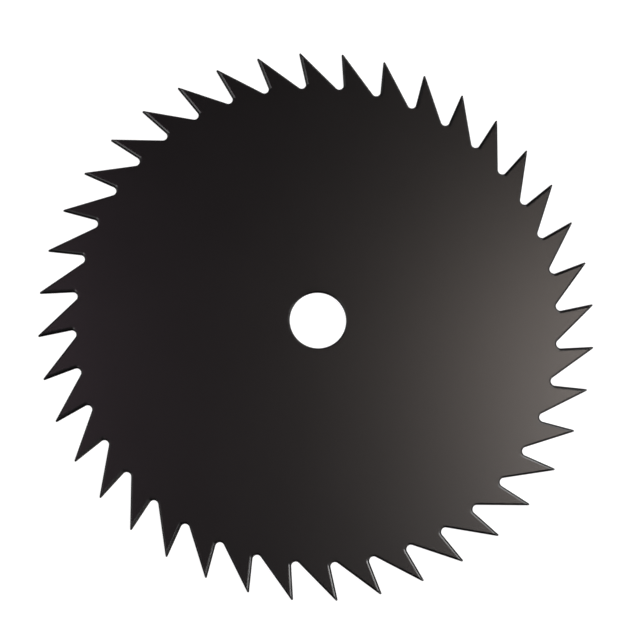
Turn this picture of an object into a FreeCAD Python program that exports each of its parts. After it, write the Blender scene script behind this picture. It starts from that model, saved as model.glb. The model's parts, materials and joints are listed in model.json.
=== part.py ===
import FreeCAD
import Part
import math
import os

# Brush cutter blade: one flat disc of tool steel with forty raked teeth and a plain spindle bore.
# It lies flat with its axis on Z, its underside at z = 0 and the tip of one tooth on X.
# Seen from above, the tips point counter-clockwise and every cutting edge is bevelled on top.

# Disc, in millimetres
outer_diameter = 250.0
bore_diameter = 25.4
thickness = 1.4

# Teeth, with both flank angles in degrees from the radius through the tip
tooth_count = 40
hook_angle = 8.6
back_angle = 41.0
tip_radius = 0.45
gullet_radius = 2.0

# Bevel along each cutting edge, ground by a cone whose point runs just outside the edge
bevel_width = 1.25
bevel_angle = 30.0
cone_offset = 0.15
cone_overrun = 0.5

# How far a cutting tool reaches clear of the steel
tool_clearance = 1.0

# Density of the steel, in kilograms per cubic millimetre
steel_density = 7.85e-6

pitch_angle = 360.0 / tooth_count
axis_up = FreeCAD.Vector(0, 0, 1)
centre = FreeCAD.Vector(0, 0, 0)


def direction(degrees):
    """Unit vector in the plane of the disc, counter-clockwise from X."""
    return FreeCAD.Vector(math.cos(math.radians(degrees)), math.sin(math.radians(degrees)), 0)


def turned(point, teeth):
    """The point carried round the axis by a number of teeth."""
    return FreeCAD.Rotation(axis_up, teeth * pitch_angle).multVec(point)


def line_crossing(normal_a, offset_a, normal_b, offset_b):
    """Point that lies at each offset from the origin along its normal."""
    determinant = normal_a.x * normal_b.y - normal_a.y * normal_b.x
    x = (offset_a * normal_b.y - offset_b * normal_a.y) / determinant
    y = (offset_b * normal_a.x - offset_a * normal_b.x) / determinant
    return FreeCAD.Vector(x, y, 0)


# The tooth on X: its tip is a small arc that touches the outer circle
tip_centre = FreeCAD.Vector(outer_diameter / 2 - tip_radius, 0, 0)
lead_normal = direction(90 + hook_angle)
back_normal = direction(back_angle - 90)
tip_apex = FreeCAD.Vector(outer_diameter / 2, 0, 0)
lead_tip = tip_centre + lead_normal * tip_radius
back_tip = tip_centre + back_normal * tip_radius

# The gullet ahead of it: an arc that touches this cutting edge and the next tooth's back
next_back_normal = turned(back_normal, 1)
lead_offset = lead_normal.dot(lead_tip) + gullet_radius
next_back_offset = next_back_normal.dot(turned(back_tip, 1)) + gullet_radius
gullet_centre = line_crossing(lead_normal, lead_offset, next_back_normal, next_back_offset)
lead_root = gullet_centre - lead_normal * gullet_radius
next_back_root = gullet_centre - next_back_normal * gullet_radius
gullet_middle = FreeCAD.Vector(lead_normal + next_back_normal).normalize()
gullet_floor = gullet_centre - gullet_middle * gullet_radius


def toothed_outline():
    """Closed outline of all teeth, counter-clockwise: back, tip, cutting edge and gullet of each."""
    edges = []
    back_root = turned(next_back_root, -1)
    for tooth in range(tooth_count):
        back = Part.LineSegment(turned(back_root, tooth), turned(back_tip, tooth))
        tip = Part.Arc(turned(back_tip, tooth), turned(tip_apex, tooth), turned(lead_tip, tooth))
        lead = Part.LineSegment(turned(lead_tip, tooth), turned(lead_root, tooth))
        next_back = turned(next_back_root, tooth)
        gullet = Part.Arc(turned(lead_root, tooth), turned(gullet_floor, tooth), next_back)
        edges += [back.toShape(), tip.toShape(), lead.toShape(), gullet.toShape()]
    return Part.Wire(edges)


def bevel_tool():
    """Path of the grinding cone on the tooth on X: out from the gullet, along the cutting edge, past the tip."""
    slope = math.tan(math.radians(bevel_angle))
    along_edge = direction(hook_angle)
    start = lead_root + lead_normal * cone_offset - along_edge * cone_overrun
    travel = start.distanceToPoint(lead_tip) + tip_radius + tool_clearance
    depth = (bevel_width + cone_offset) * slope
    height = depth + tool_clearance
    radius = height / slope
    point = start + axis_up * (thickness - depth)
    rim = point + axis_up * height
    corners = [point, rim + lead_normal * radius, rim - lead_normal * radius, point]
    swept = Part.Face(Part.makePolygon(corners)).extrude(along_edge * travel)
    return swept.fuse(Part.makeCone(0, radius, height, point, axis_up))


def blade():
    """The finished blade as one solid."""
    blank = Part.Face(toothed_outline()).extrude(axis_up * thickness)
    bore_depth = thickness + 2 * tool_clearance
    bore = Part.makeCylinder(bore_diameter / 2, bore_depth, axis_up * -tool_clearance, axis_up)
    tool = bevel_tool()
    bevels = []
    for tooth in range(tooth_count):
        bevel = tool.copy()
        bevel.rotate(centre, axis_up, tooth * pitch_angle)
        bevels.append(bevel)
    return blank.cut([bore] + bevels)


os.makedirs("parts", exist_ok=True)
solids = blade().Solids
result = solids[0]
print("solids", len(solids), "valid", result.isValid(), "faces", len(result.Faces))
print("volume mm3", round(result.Volume, 1), "mass kg", round(result.Volume * steel_density, 3))
print("gullet floor radius", round(gullet_floor.Length, 3), "centre radius", round(gullet_centre.Length, 3))
print("box", result.BoundBox)
result.exportStep("parts/blade.step")
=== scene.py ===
# Brush cutter blade: one flat steel disc, forty raked teeth ground on top, a plain bore, baked satin black.
# It lies on a plain white floor under soft studio light, seen from nearly straight above.

import json

import bmesh
import bpy
import numpy as np
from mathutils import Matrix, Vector
from mathutils.geometry import delaunay_2d_cdt


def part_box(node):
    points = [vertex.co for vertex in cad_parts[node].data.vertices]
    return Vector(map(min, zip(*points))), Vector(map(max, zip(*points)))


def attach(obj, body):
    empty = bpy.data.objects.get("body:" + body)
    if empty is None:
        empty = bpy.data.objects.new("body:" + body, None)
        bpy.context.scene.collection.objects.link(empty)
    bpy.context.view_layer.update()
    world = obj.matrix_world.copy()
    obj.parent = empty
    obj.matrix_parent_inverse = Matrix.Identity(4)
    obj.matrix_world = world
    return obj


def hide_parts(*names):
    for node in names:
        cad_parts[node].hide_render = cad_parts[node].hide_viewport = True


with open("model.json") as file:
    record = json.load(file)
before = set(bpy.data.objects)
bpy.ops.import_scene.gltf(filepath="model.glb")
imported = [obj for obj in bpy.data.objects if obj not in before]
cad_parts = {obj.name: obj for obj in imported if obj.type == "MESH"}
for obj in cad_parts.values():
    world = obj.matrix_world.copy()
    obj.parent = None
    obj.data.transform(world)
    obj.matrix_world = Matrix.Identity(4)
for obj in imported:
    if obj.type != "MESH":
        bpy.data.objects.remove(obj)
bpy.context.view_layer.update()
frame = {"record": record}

millimetre = 0.001
print("frame loaded")


# Steel

# Sizes a user would change, in millimetres and degrees; the angles are from the radius through the tip
bladeForm = {
    "toothCount": 40,
    "hookAngle": 8.6,        # cutting edge
    "backAngle": 41.0,       # back of the tooth
    "tipRadius": 0.45,
    "gulletRadius": 2.0,
    "bevelWidth": 1.25,
    "bevelAngle": 30.0,
    "coneOffset": 0.15,      # the grinding cone's point runs this far outside the edge
    "coneOverrun": 0.5,      # and this far past the edge's root
    "creaseWidth": 0.3,      # the coat rounds the line where the bevel meets the face
    "rollWidth": 0.75,       # the upper edges roll over where the sheet was sheared
    "shoulderAngle": 27.0,   # they start down from the face at this angle
    "rollDrop": 0.3,         # and the rounding takes them this much lower
    "rollPower": 1.2,        # 1 would be a straight slope and 2 a quarter ellipse
    "lowerRoll": 0.1,        # radius of the lower edges
    "flatMargin": 0.04,      # narrow flat band beside each rounding, so that the shading stays even
    "lowerMargin": 0.045,    # the same beside the rounding under the teeth
}

# Mesh steps a user would change
bladeMesh = {
    "rollSteps": 8,
    "slopeSteps": 4,
    "creaseSteps": 4,
    "marginSteps": 3,
    "lowerSteps": 4,
    "flankSteps": 6,
    "gulletFineSteps": 30,   # where the bevel runs out
    "gulletCoarseSteps": 12,
    "sectorSteps": 4,        # round the disc, for each tooth
    "discSteps": 10,         # from the teeth to the bore
    "discRadius": 102.0,
    "boreMargin": 2.0,       # the disc's last ring is this many roll widths out from the bore
    "arcTolerance": 1.000001,
    "weldGap": 0.0005,
}

low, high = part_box("blade")
boreMount = [m for m in frame["record"]["mounts"] if m["kind"] == "bore"][0]
outerRadius = (high.x - low.x) / 2 / millimetre
thickness = (high.z - low.z) / millimetre
pitch = 360.0 / bladeForm["toothCount"]


# Unit vectors in the plane of the disc, by their angle from X
def heading(degrees):
    turn = np.radians(degrees)
    return np.stack([np.cos(turn), np.sin(turn)], axis=-1)


# Points carried round the axis: x cos - y sin, x sin + y cos
def carried(points, degrees):
    c, s = np.moveaxis(heading(degrees), -1, 0)
    x, y = points[..., 0], points[..., 1]
    return np.stack([x * c - y * s, x * s + y * c], axis=-1)


# The lines of the tooth on X: each flank touches the tip's circle, and the gullet's circle touches
# both flanks
def toothLines(form):
    tip = np.array([outerRadius - form["tipRadius"], 0.0])
    lead = heading(90 + form["hookAngle"])
    back = heading(form["backAngle"] - 90)
    nextBack = carried(back, pitch)
    reach = form["tipRadius"] + form["gulletRadius"]
    offsets = [tip @ lead + reach, carried(tip, pitch) @ nextBack + reach]
    gullet = np.linalg.solve(np.array([lead, nextBack]), offsets)
    leadRoot = gullet - lead * form["gulletRadius"]
    along = heading(form["hookAngle"])
    return {
        "tip": tip,
        "lead": lead,
        "back": back,
        "along": along,
        "gullet": gullet,
        "leadRoot": leadRoot,
        "backRoot": carried(gullet - nextBack * form["gulletRadius"], -pitch),
        "coneStart": leadRoot + lead * form["coneOffset"] - along * form["coneOverrun"],
        "leadTurn": 270 + form["hookAngle"],
        "backTurn": 90 + form["backAngle"] + pitch,
        "point": form["backAngle"] - form["hookAngle"],
    }


tooth = toothLines(bladeForm)


# Depths over a rolled edge, closest together at both ends, and just past it
def rollLevels(form, mesh):
    roll = form["rollWidth"] * (1 - np.cos(np.linspace(0, np.pi, mesh["rollSteps"] + 1))) / 2
    return np.append(roll, form["rollWidth"] + form["flatMargin"])


# Depths in from the outline: the rolled edge, the bevel's slope, its crease and a flat margin, wide
# enough for the crease round the run-out, which reaches a little further in
def depthLevels(form, mesh):
    roll = rollLevels(form, mesh)
    creaseStart = form["bevelWidth"] - form["creaseWidth"] / 2
    creaseEnd = creaseStart + form["creaseWidth"]
    slope = np.linspace(roll[-1], creaseStart, mesh["slopeSteps"])[1:]
    crease = np.linspace(creaseStart, creaseEnd, mesh["creaseSteps"] + 1)[1:]
    margin = crease[-1] + form["flatMargin"] * np.arange(1, mesh["marginSteps"] + 1)
    return np.concatenate([roll, slope, crease, margin])


# Where a point lies that is so far in from the cutting edge and so far in from the back: two lines
# cross there
def fromFlanks(fromLead, fromBack):
    radius = bladeForm["tipRadius"]
    lead, back = tooth["lead"], tooth["back"]
    determinant = lead[0] * back[1] - lead[1] * back[0]
    leadReach, backReach = radius - fromLead, radius - fromBack
    x = (leadReach * back[1] - backReach * lead[1]) / determinant
    y = (backReach * lead[0] - leadReach * back[0]) / determinant
    return tooth["tip"] + np.stack([x, y], axis=-1)


# Tip of the tooth on a grid of two depths, one from each flank; nearer the corner than the tip's
# circle touches, a depth's two lines give way to an arc round the circle's centre
def tipGrid(levels):
    fromLead, fromBack = np.meshgrid(levels, levels, indexing="ij")
    depth = np.minimum(fromLead, fromBack)
    half = np.radians(tooth["point"] / 2)
    along = (np.maximum(fromLead, fromBack) - depth) / np.sin(2 * half)
    radius = np.maximum(bladeForm["tipRadius"] - depth, 0)
    touch = radius / np.tan(half)
    onArc = along < touch
    side = np.where(fromBack >= fromLead, 1, -1)
    share = np.where(onArc, along, 0) / np.where(onArc, touch, 1) * side
    middle = (bladeForm["hookAngle"] + bladeForm["backAngle"]) / 2
    arc = tooth["tip"] + radius[..., None] * heading(middle + share * (90 - tooth["point"] / 2))
    return np.where(onArc[..., None], arc, fromFlanks(fromLead, fromBack)), depth


# Straight strip along a flank: even steps from one row of points to another
def flankGrid(first, last, levels, steps):
    share = np.linspace(0, 1, steps + 1)[None, :, None]
    places = first[:, None] * (1 - share) + last[:, None] * share
    return places, np.repeat(levels[:, None], steps + 1, axis=1)


# Gullet: arcs round its centre, each one depth further out
def gulletGrid(levels, mesh):
    floorTurn = (tooth["leadTurn"] + tooth["backTurn"]) / 2
    fine = np.linspace(tooth["leadTurn"], floorTurn, mesh["gulletFineSteps"] + 1)
    coarse = np.linspace(floorTurn, tooth["backTurn"], mesh["gulletCoarseSteps"] + 1)[1:]
    turns = np.concatenate([fine, coarse])
    radii = (bladeForm["gulletRadius"] + levels)[:, None, None]
    places = tooth["gullet"] + radii * heading(turns)[None]
    return places, np.repeat(levels[:, None], len(turns), axis=1)


# How far inside the grinding cone's rim a point lies: the rim's radius less the distance from the
# line of the cone's point, and past the end of that line from its end; and that distance itself
def insideCone(points):
    offset = points - tooth["coneStart"]
    across = -(offset @ tooth["lead"])
    past = np.maximum(-(offset @ tooth["along"]), 0)
    reach = np.hypot(across, past)
    return bladeForm["bevelWidth"] + bladeForm["coneOffset"] - reach, reach


# How far a rolled edge has dropped: the bevel or the shoulder, whichever is lower, and the rounding
# outside it, drop (1 - (1 - a^p)^(1/p)), where a runs from 0 at the roll's start to 1 at the edge
def edgeDrop(depth, bevel):
    width, power = bladeForm["rollWidth"], bladeForm["rollPower"]
    along = np.maximum(1 - depth / width, 0)
    shoulder = np.tan(np.radians(bladeForm["shoulderAngle"])) * width * along
    rounding = 1 - (1 - along ** power) ** (1 / power)
    return np.maximum(bevel, shoulder) + bladeForm["rollDrop"] * rounding


# Height of the upper face: the thickness, less the bevel's slope with a parabola over its crease,
# less the roll at the outline
def upperHeight(points, depth):
    inside, _ = insideCone(points)
    half = bladeForm["creaseWidth"] / 2
    blend = (inside.clip(-half, half) + half) ** 2 / (4 * half)
    bevel = np.tan(np.radians(bladeForm["bevelAngle"])) * (blend + np.maximum(inside - half, 0))
    return thickness - edgeDrop(depth, bevel)


# The rounded lower edge, a quarter circle: how far in and how high its points lie
def lowerEdge(form, mesh):
    turn = np.linspace(0, np.pi / 2, mesh["lowerSteps"] + 1)
    return form["lowerRoll"] * (1 - np.cos(turn)), form["lowerRoll"] * (1 - np.sin(turn))


# Four-sided faces between the rows and columns of a grid
def gridFaces(rows, columns):
    corner = np.arange(rows * columns).reshape(rows, columns)
    around = [corner[:-1, :-1], corner[1:, :-1], corner[1:, 1:], corner[:-1, 1:]]
    return np.stack(around, axis=-1).reshape(-1, 4)


# A patch is its points and its faces
def gridPatch(places, heights):
    grid = np.concatenate([places, heights[..., None]], axis=-1)
    return grid.reshape(-1, 3), gridFaces(*grid.shape[:2])


# A flat patch fills an outline with triangles between its points
def filledPatch(outline, height):
    corners = [Vector(point) for point in outline]
    around = [list(range(len(corners)))]
    places, _, triangles, *_ = delaunay_2d_cdt(corners, [], around, 1, bladeMesh["weldGap"])
    return np.column_stack([np.array(places), np.full(len(places), height)]), np.array(triangles)


# One copy of a patch for each tooth, turned about the axis
def allRound(patch):
    points, faces = patch
    turns = np.arange(bladeForm["toothCount"])[:, None]
    flat = carried(points[None, :, :2], turns * pitch)
    heights = np.broadcast_to(points[:, 2:], (len(turns), len(points), 1))
    everyPoint = np.concatenate([flat, heights], axis=-1).reshape(-1, 3)
    everyFace = (faces[None] + turns[:, None] * len(points)).reshape(-1, faces.shape[1])
    return everyPoint, everyFace


# Upper face round one tooth: four grids of places with their depths, which share their ends
def toothGrids(levels):
    tipPlaces, tipDepth = tipGrid(levels)
    leadEnd = tooth["leadRoot"] - levels[:, None] * tooth["lead"]
    backStart = tooth["backRoot"] - levels[:, None] * tooth["back"]
    return {
        "tip": (tipPlaces, tipDepth),
        "lead": flankGrid(tipPlaces[:, -1], leadEnd, levels, bladeMesh["flankSteps"]),
        "gullet": gulletGrid(levels, bladeMesh),
        "back": flankGrid(backStart, tipPlaces[-1], levels, bladeMesh["flankSteps"]),
    }


# One tooth's share of the outline, counter-clockwise, with the direction that points out of the steel
def outlineOfTooth(places):
    tip, lead, gullet, back = (places[name] for name in ("tip", "lead", "gullet", "back"))
    nose = np.concatenate([tip[:0:-1, 0], tip[0]])
    outline = np.concatenate([back[0, :-1], nose, lead[0, 1:], gullet[0, 1:]])
    noseFrom = len(back[0]) - 1
    noseTo = noseFrom + len(nose)
    gulletFrom = len(outline) - len(gullet[0]) + 1
    outward = np.zeros_like(outline)
    outward[:noseFrom] = tooth["back"]
    outward[noseTo:gulletFrom] = tooth["lead"]
    outward[gulletFrom:] = (tooth["gullet"] - outline[gulletFrom:]) / bladeForm["gulletRadius"]
    arc = (nose - tooth["tip"]) / bladeForm["tipRadius"]
    onArc = np.hypot(*arc.T) < bladeMesh["arcTolerance"]
    onBack = np.arange(len(nose)) < len(nose) // 2
    flank = np.where(onBack[:, None], tooth["back"], tooth["lead"])
    outward[noseFrom:noseTo] = np.where(onArc[:, None], arc, flank)
    return outline, outward


# Wall below one tooth's outline: down from the upper face, round the lower edge and a little way in
def wallGrid(places):
    outline, outward = outlineOfTooth(places)
    outline = np.concatenate([outline, carried(outline[:1], pitch)])
    outward = np.concatenate([outward, carried(outward[:1], pitch)])
    edgeInset, edgeHeight = lowerEdge(bladeForm, bladeMesh)
    marginInset = bladeForm["lowerRoll"] + bladeForm["lowerMargin"]
    inset = np.concatenate([[0.0], edgeInset, [marginInset]])
    heights = np.concatenate([[0.0], edgeHeight, [0.0]])[:, None] * np.ones(len(outline))
    heights[0] = upperHeight(outline, np.zeros(len(outline)))
    return outline[None] - inset[:, None, None] * outward[None], heights


# Flat faces above and below, from the teeth in to the disc's first ring; a tooth's share of them runs
# from one gullet's floor to the next
def flatPatches(places, below, floorAngle):
    tip, lead, gullet, back = (places[name][-1] for name in ("tip", "lead", "gullet", "back"))
    floorStep = bladeMesh["gulletFineSteps"]
    ringTurns = floorAngle - np.linspace(0, pitch, bladeMesh["sectorSteps"] + 1)
    ring = bladeMesh["discRadius"] * heading(ringTurns)
    upper = np.concatenate([
        carried(gullet[floorStep:-1], -pitch), back[:-1], lead[:-1], gullet[:floorStep + 1], ring])
    afterFloor = len(gullet) - 1 - floorStep
    lower = np.concatenate([
        carried(below[len(below) - 1 - afterFloor:], -pitch), below[:len(below) - afterFloor], ring])
    return [allRound(filledPatch(upper, thickness)), allRound(filledPatch(lower, 0.0))]


# The disc from its first ring to the bore, above and below, and the bore's wall between them: one
# profile turned about the axis
def boreProfile():
    boreRadius = boreMount["dims"]["r_mm"]
    rollDepth = rollLevels(bladeForm, bladeMesh)[::-1]
    edgeInset, edgeHeight = lowerEdge(bladeForm, bladeMesh)
    lastRing = boreRadius + bladeForm["rollWidth"] * bladeMesh["boreMargin"]
    discs = np.linspace(bladeMesh["discRadius"], lastRing, bladeMesh["discSteps"])
    margin = boreRadius + bladeForm["lowerRoll"] + bladeForm["flatMargin"]
    radii = np.concatenate([
        discs, boreRadius + rollDepth, boreRadius + edgeInset, [margin], discs[::-1]])
    heights = np.concatenate([
        np.full(len(discs), thickness), thickness - edgeDrop(rollDepth, 0.0), edgeHeight,
        np.zeros(len(discs) + 1)])
    return radii, heights


# A profile turned about the axis, starting at an angle
def turnedPatch(radii, heights, firstAngle):
    count = bladeForm["toothCount"] * bladeMesh["sectorSteps"]
    turns = firstAngle + np.arange(count + 1) * 360.0 / count
    places = radii[:, None, None] * heading(turns)[None]
    return gridPatch(places, np.repeat(heights[:, None], count + 1, axis=1))


# Every patch of the blade's skin, and the angle of the gullet's floor
def bladePatches():
    grids = toothGrids(depthLevels(bladeForm, bladeMesh))
    places = {name: grid for name, (grid, _) in grids.items()}
    patches = [allRound(gridPatch(grid, upperHeight(grid, depth))) for grid, depth in grids.values()]
    wall, wallHeights = wallGrid(places)
    patches.append(allRound(gridPatch(wall, wallHeights)))
    floorPoint = places["gullet"][-1, bladeMesh["gulletFineSteps"]]
    floorAngle = np.degrees(np.arctan2(floorPoint[1], floorPoint[0]))
    patches += flatPatches(places, wall[-1, :-1], floorAngle)
    patches.append(turnedPatch(*boreProfile(), floorAngle))
    return patches, floorAngle


# Each point carried back to the tooth on X from the tooth that it belongs to
def onFirstTooth(points, floorAngle):
    angle = np.degrees(np.arctan2(points[:, 1], points[:, 0]))
    return carried(points[:, :2], -pitch * np.ceil((angle - floorAngle) / pitch))


# Marks where the steel was ground, and places on it: along the edge and out from the cone's point
def markGrinding(mesh, floorAngle):
    points = np.empty(len(mesh.vertices) * 3)
    mesh.vertices.foreach_get("co", points)
    points = points.reshape(-1, 3) / millimetre
    first = onFirstTooth(points, floorAngle)
    inside, reach = insideCone(first)
    half = bladeForm["creaseWidth"] / 2
    share = ((inside + half) / (2 * half)).clip(0, 1) * (points[:, 2] > bladeForm["lowerRoll"])
    along = (first - tooth["coneStart"]) @ tooth["along"]
    place = np.stack([along, reach, np.zeros(len(first))], axis=-1)
    ground = mesh.attributes.new("groundShare", "FLOAT", "POINT")
    ground.data.foreach_set("value", share.astype(np.float32))
    across = mesh.attributes.new("groundPlace", "FLOAT_VECTOR", "POINT")
    across.data.foreach_set("vector", place.astype(np.float32).ravel())


# The blade as one closed skin: the patches are joined, welded where they meet and turned outwards
def makeBlade():
    patches, floorAngle = bladePatches()
    starts = np.cumsum([0] + [len(points) for points, _ in patches])
    points = np.concatenate([points for points, _ in patches]) * millimetre
    faces = []
    for start, (_, corners) in zip(starts, patches):
        faces += (corners + start).tolist()
    mesh = bpy.data.meshes.new("bladeBody")
    mesh.from_pydata(points.tolist(), [], faces)
    welded = bmesh.new()
    welded.from_mesh(mesh)
    bmesh.ops.remove_doubles(welded, verts=welded.verts, dist=bladeMesh["weldGap"] * millimetre)
    bmesh.ops.recalc_face_normals(welded, faces=welded.faces)
    openEdges = sum(1 for edge in welded.edges if len(edge.link_faces) != 2)
    volume = round(welded.calc_volume(signed=True) / millimetre ** 3, 1)
    print("blade skin: faces", len(welded.faces), "open edges", openEdges, "volume mm3", volume)
    welded.to_mesh(mesh)
    welded.free()
    mesh.shade_smooth()
    markGrinding(mesh, floorAngle)
    blade = bpy.data.objects.new("bladeBody", mesh)
    bpy.context.scene.collection.objects.link(blade)
    return blade


blade = makeBlade()
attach(blade, "root")
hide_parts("blade")
print("steel made")


# Finish

# A colour written as sRGB hex, in linear light: the sRGB curve undone
def linear(hexColour):
    parts = np.array([int(hexColour[i:i + 2], 16) for i in (1, 3, 5)]) / 255
    light = np.where(parts <= 0.04045, parts / 12.92, ((parts + 0.055) / 1.055) ** 2.4)
    return (*light.tolist(), 1.0)


# The node tree of a new material or world, emptied
def emptyTree(owner):
    owner.use_nodes = True
    owner.node_tree.nodes.clear()
    return owner.node_tree


# Adds a node with its settings, and fills its inputs with values or links
def addNode(tree, kind, inputs=None, **settings):
    node = tree.nodes.new("ShaderNode" + kind)
    for name, value in settings.items():
        setattr(node, name, value)
    for name, value in (inputs or {}).items():
        if isinstance(value, bpy.types.NodeSocket):
            tree.links.new(value, node.inputs[name])
        else:
            node.inputs[name].default_value = value
    return node


# A texture's scale is how many of its features fit in a metre
def textureScale(size):
    return 1 / (size * millimetre)


# Noise with features of a size in millimetres
def addNoise(tree, place, size, detail):
    noise = addNode(tree, "TexNoise", {"Vector": place, "Scale": textureScale(size), "Detail": detail})
    return noise.outputs["Fac"]


# Relief of a height in millimetres, laid over the relief before it
def addRelief(tree, pattern, height, before=None):
    inputs = {"Height": pattern, "Distance": height * millimetre}
    if before is not None:
        inputs["Normal"] = before
    return addNode(tree, "Bump", inputs).outputs["Normal"]


# Coat values a user would change; sizes in millimetres
enamelLook = {
    "colour": "#060506",
    "ior": 1.5,
    "faceRoughness": 0.262,
    "groundRoughness": 0.2,
    "roughnessDrift": 0.004,  # slow change over the face, each way
    "driftSize": 35.0,
    "driftDetail": 3.0,
    "noiseRange": (0.3, 0.7),
    "peelSize": 1.4,         # orange peel of the sprayed coat
    "peelHeight": 0.002,
    "peelDetail": 1.0,
    "grainSize": 0.22,       # fine pigment grain
    "grainHeight": 0.0006,
    "grainDetail": 2.0,
    "nibSpacing": 4.2,       # dust nibs under the coat
    "nibRadius": 0.4,
    "nibHeight": 0.008,
    "nibShare": 0.5,         # share of the pattern's cells that have a nib
    "lineLength": 6.0,       # grinding lines that show through the coat
    "lineSpacing": 0.11,
    "lineHeight": 0.0004,
    "lineDetail": 2.0,
}


# Satin black baked enamel on ground steel. It gives the eye a broad, soft gloss with no sharp
# reflection, a slight orange peel, a few dust nibs, and faint grinding lines on the bevels.
def satinBlackEnamel(look):
    material = bpy.data.materials.new("satinBlackEnamel")
    tree = emptyTree(material)
    place = addNode(tree, "TexCoord").outputs["Object"]
    ground = addNode(tree, "Attribute", attribute_name="groundShare").outputs["Fac"]
    groundPlace = addNode(tree, "Attribute", attribute_name="groundPlace").outputs["Vector"]

    drift = addNoise(tree, place, look["driftSize"], look["driftDetail"])
    rough = addNode(tree, "MapRange", {
        "Value": drift, "From Min": look["noiseRange"][0], "From Max": look["noiseRange"][1],
        "To Min": look["faceRoughness"] - look["roughnessDrift"],
        "To Max": look["faceRoughness"] + look["roughnessDrift"]}, clamp=False)
    smoother = addNode(tree, "Math", {
        0: ground, 1: look["groundRoughness"] - look["faceRoughness"],
        2: rough.outputs["Result"]}, operation="MULTIPLY_ADD")

    peel = addNoise(tree, place, look["peelSize"], look["peelDetail"])
    peelRelief = addRelief(tree, peel, look["peelHeight"])
    grain = addNoise(tree, place, look["grainSize"], look["grainDetail"])
    grainRelief = addRelief(tree, grain, look["grainHeight"], peelRelief)

    # A nib is the middle of a cell, and a cell's colour says whether it has one
    nibs = addNode(tree, "TexVoronoi", {
        "Vector": place, "Scale": textureScale(look["nibSpacing"])}, voronoi_dimensions="2D")
    nibDome = addNode(tree, "MapRange", {
        "Value": nibs.outputs["Distance"],
        "From Min": 0.0, "From Max": look["nibRadius"] / look["nibSpacing"],
        "To Min": 1.0, "To Max": 0.0}, interpolation_type="SMOOTHSTEP")
    nibColour = addNode(tree, "SeparateColor", {"Color": nibs.outputs["Color"]})
    present = addNode(tree, "Math", {
        0: nibColour.outputs["Red"], 1: 1 - look["nibShare"]}, operation="GREATER_THAN")
    nib = addNode(tree, "Math", {
        0: nibDome.outputs["Result"], 1: present.outputs[0]}, operation="MULTIPLY")
    nibRelief = addRelief(tree, nib.outputs[0], look["nibHeight"], grainRelief)

    # Grinding lines: noise drawn out along the edge, in millimetres along and across it
    linesPerMillimetre = (1 / look["lineLength"], 1 / look["lineSpacing"], 1.0)
    stretched = addNode(tree, "VectorMath", {
        0: groundPlace, 1: linesPerMillimetre}, operation="MULTIPLY")
    lines = addNode(tree, "TexNoise", {
        "Vector": stretched.outputs[0], "Scale": 1.0, "Detail": look["lineDetail"]})
    lineShare = addNode(tree, "Math", {0: lines.outputs["Fac"], 1: ground}, operation="MULTIPLY")
    lineRelief = addRelief(tree, lineShare.outputs[0], look["lineHeight"], nibRelief)

    shader = addNode(tree, "BsdfPrincipled", {
        "Base Color": linear(look["colour"]), "IOR": look["ior"], "Metallic": 0.0,
        "Roughness": smoother.outputs[0], "Normal": lineRelief})
    addNode(tree, "OutputMaterial", {"Surface": shader.outputs["BSDF"]})
    return material


blade.data.materials.append(satinBlackEnamel(enamelLook))
print("finish made")


# Studio

# Stage values a user would change; sizes in metres
stageLook = {
    "floorSize": 8.0,
    "floorDrop": 0.00005,    # below the blade, so that the two faces don't coincide
    "floorColour": "#8c8c8c",
    "floorRoughness": 0.9,
    "glowColour": "#ffffff",
    "floorGlow": 0.85,
    "backdropColour": "#ffffff",
}

# Soft panels round the blade, all facing it, at one distance in metres. Each row is azimuth from X
# towards Y and elevation in degrees, width and height in metres, how bright the panel's face is,
# where 1 is white in the picture, and its colour
panelDistance = 1.8
panelLook = {
    "highRightBox": (15.0, 70.0, 0.46, 0.45, 6.6, "#ffeee1"),
    "frontTopBox": (-10.0, 68.0, 0.74, 0.25, 9.1, "#f2f3f8"),
    "rightBox": (20.0, 28.0, 2.6, 0.4, 11.0, "#ffffff"),
    "farRightBox": (60.0, 36.0, 0.7, 0.4, 5.0, "#ffffff"),
    "lowRightStrip": (-45.0, 8.0, 1.0, 0.25, 2.0, "#fff8f0"),
    "leftBox": (190.0, 42.0, 1.7, 0.5, 2.8, "#fbfffd"),
    "highLeftBox": (165.0, 69.0, 0.6, 0.28, 7.0, "#ffdff1"),
    "lowLeftStrip": (166.0, 12.0, 1.5, 0.3, 1.2, "#ffffff"),
    "backFill": (102.0, 39.0, 2.6, 0.8, 0.3, "#ffffff"),
    "rightFill": (-38.0, 48.0, 0.9, 0.7, 1.1, "#ffffff"),
    "frontFill": (-88.0, 47.0, 1.6, 0.8, 0.16, "#ffffff"),
    "glintStrip": (202.0, 30.0, 0.9, 0.2, 7.0, "#ffffff"),
    "frontBox": (-125.0, 46.0, 0.8, 0.35, 1.6, "#ffffff"),
}


# Matte floor paper, whitened for the camera alone, as the ground of a cut-out picture is, so that no
# glow from below reaches the steel and its shadow stays faint
def whitePaper(look):
    material = bpy.data.materials.new("whitePaper")
    tree = emptyTree(material)
    seen = addNode(tree, "LightPath").outputs["Is Camera Ray"]
    glow = addNode(tree, "Math", {0: seen, 1: look["floorGlow"]}, operation="MULTIPLY")
    shader = addNode(tree, "BsdfPrincipled", {
        "Base Color": linear(look["floorColour"]), "Roughness": look["floorRoughness"],
        "Specular IOR Level": 0.0, "Emission Color": linear(look["glowColour"]),
        "Emission Strength": glow.outputs[0]})
    addNode(tree, "OutputMaterial", {"Surface": shader.outputs["BSDF"]})
    return material


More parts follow.
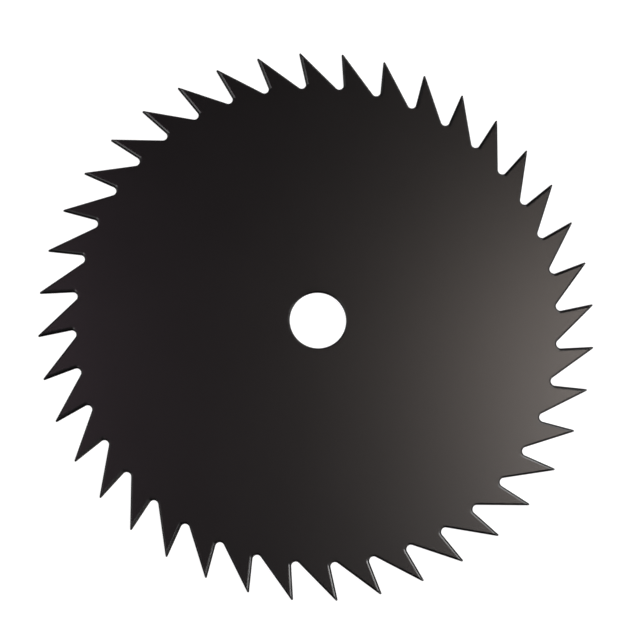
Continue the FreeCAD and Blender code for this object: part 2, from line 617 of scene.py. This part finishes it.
# One square of paper under the blade
def makeFloor(look):
    half = look["floorSize"] / 2
    corners = [(-half, -half), (half, -half), (half, half), (-half, half)]
    mesh = bpy.data.meshes.new("floor")
    mesh.from_pydata([(x, y, -look["floorDrop"]) for x, y in corners], [], [(0, 1, 2, 3)])
    mesh.materials.append(whitePaper(look))
    floor = bpy.data.objects.new("floor", mesh)
    bpy.context.scene.collection.objects.link(floor)


# Dark studio that the camera sees as white behind the floor
def makeStudio(look):
    world = bpy.data.worlds.new("studio")
    bpy.context.scene.world = world
    tree = emptyTree(world)
    seen = addNode(tree, "LightPath").outputs["Is Camera Ray"]
    dark = addNode(tree, "Background", {"Color": linear("#000000"), "Strength": 0.0})
    pale = addNode(tree, "Background", {"Color": linear(look["backdropColour"]), "Strength": 1.0})
    mixed = addNode(tree, "MixShader", {0: seen, 1: dark.outputs[0], 2: pale.outputs[0]})
    addNode(tree, "OutputWorld", {"Surface": mixed.outputs[0]})
    bpy.context.scene.view_settings.view_transform = "Standard"


# A panel's watts are its brightness times its area times pi, as for any matte glowing sheet
def makePanel(name, azimuth, elevation, width, height, brightness, colour):
    light = bpy.data.lights.new(name, "AREA")
    light.shape = "RECTANGLE"
    light.size = width
    light.size_y = height
    light.energy = brightness * np.pi * light.size * light.size_y
    light.color = linear(colour)[:3]
    flat = heading(azimuth) * np.cos(np.radians(elevation))
    towards = Vector((*flat, np.sin(np.radians(elevation))))
    panel = bpy.data.objects.new(name, light)
    panel.location = towards * panelDistance
    panel.rotation_euler = towards.to_track_quat("Z", "Y").to_euler()
    panel.visible_camera = False
    bpy.context.scene.collection.objects.link(panel)


makeFloor(stageLook)
makeStudio(stageLook)
for panelName, panelValues in panelLook.items():
    makePanel(panelName, *panelValues)
print("studio made")


# Camera values a user would change: nearly straight above, a little to the left and to the front,
# as fitted to the forty tips and the bore
cameraLook = {
    "place": (-55.24, -148.534, 860.438),    # millimetres
    "turn": (10.0142, -3.0788, -3.7754),     # degrees about X, Y and Z
    "lens": 109.45,
    "sensor": 36.0,
    "nearest": 0.05,                         # metres, and so is the next
    "farthest": 50.0,
}


# The photograph's camera, made the scene's own
def makeCamera(look):
    data = bpy.data.cameras.new("photoCamera")
    data.lens = look["lens"]
    data.sensor_width = look["sensor"]
    data.clip_start = look["nearest"]
    data.clip_end = look["farthest"]
    camera = bpy.data.objects.new("photoCamera", data)
    camera.location = Vector(look["place"]) * millimetre
    camera.rotation_euler = np.radians(look["turn"]).tolist()
    bpy.context.scene.collection.objects.link(camera)
    bpy.context.scene.camera = camera


makeCamera(cameraLook)
print("camera made")
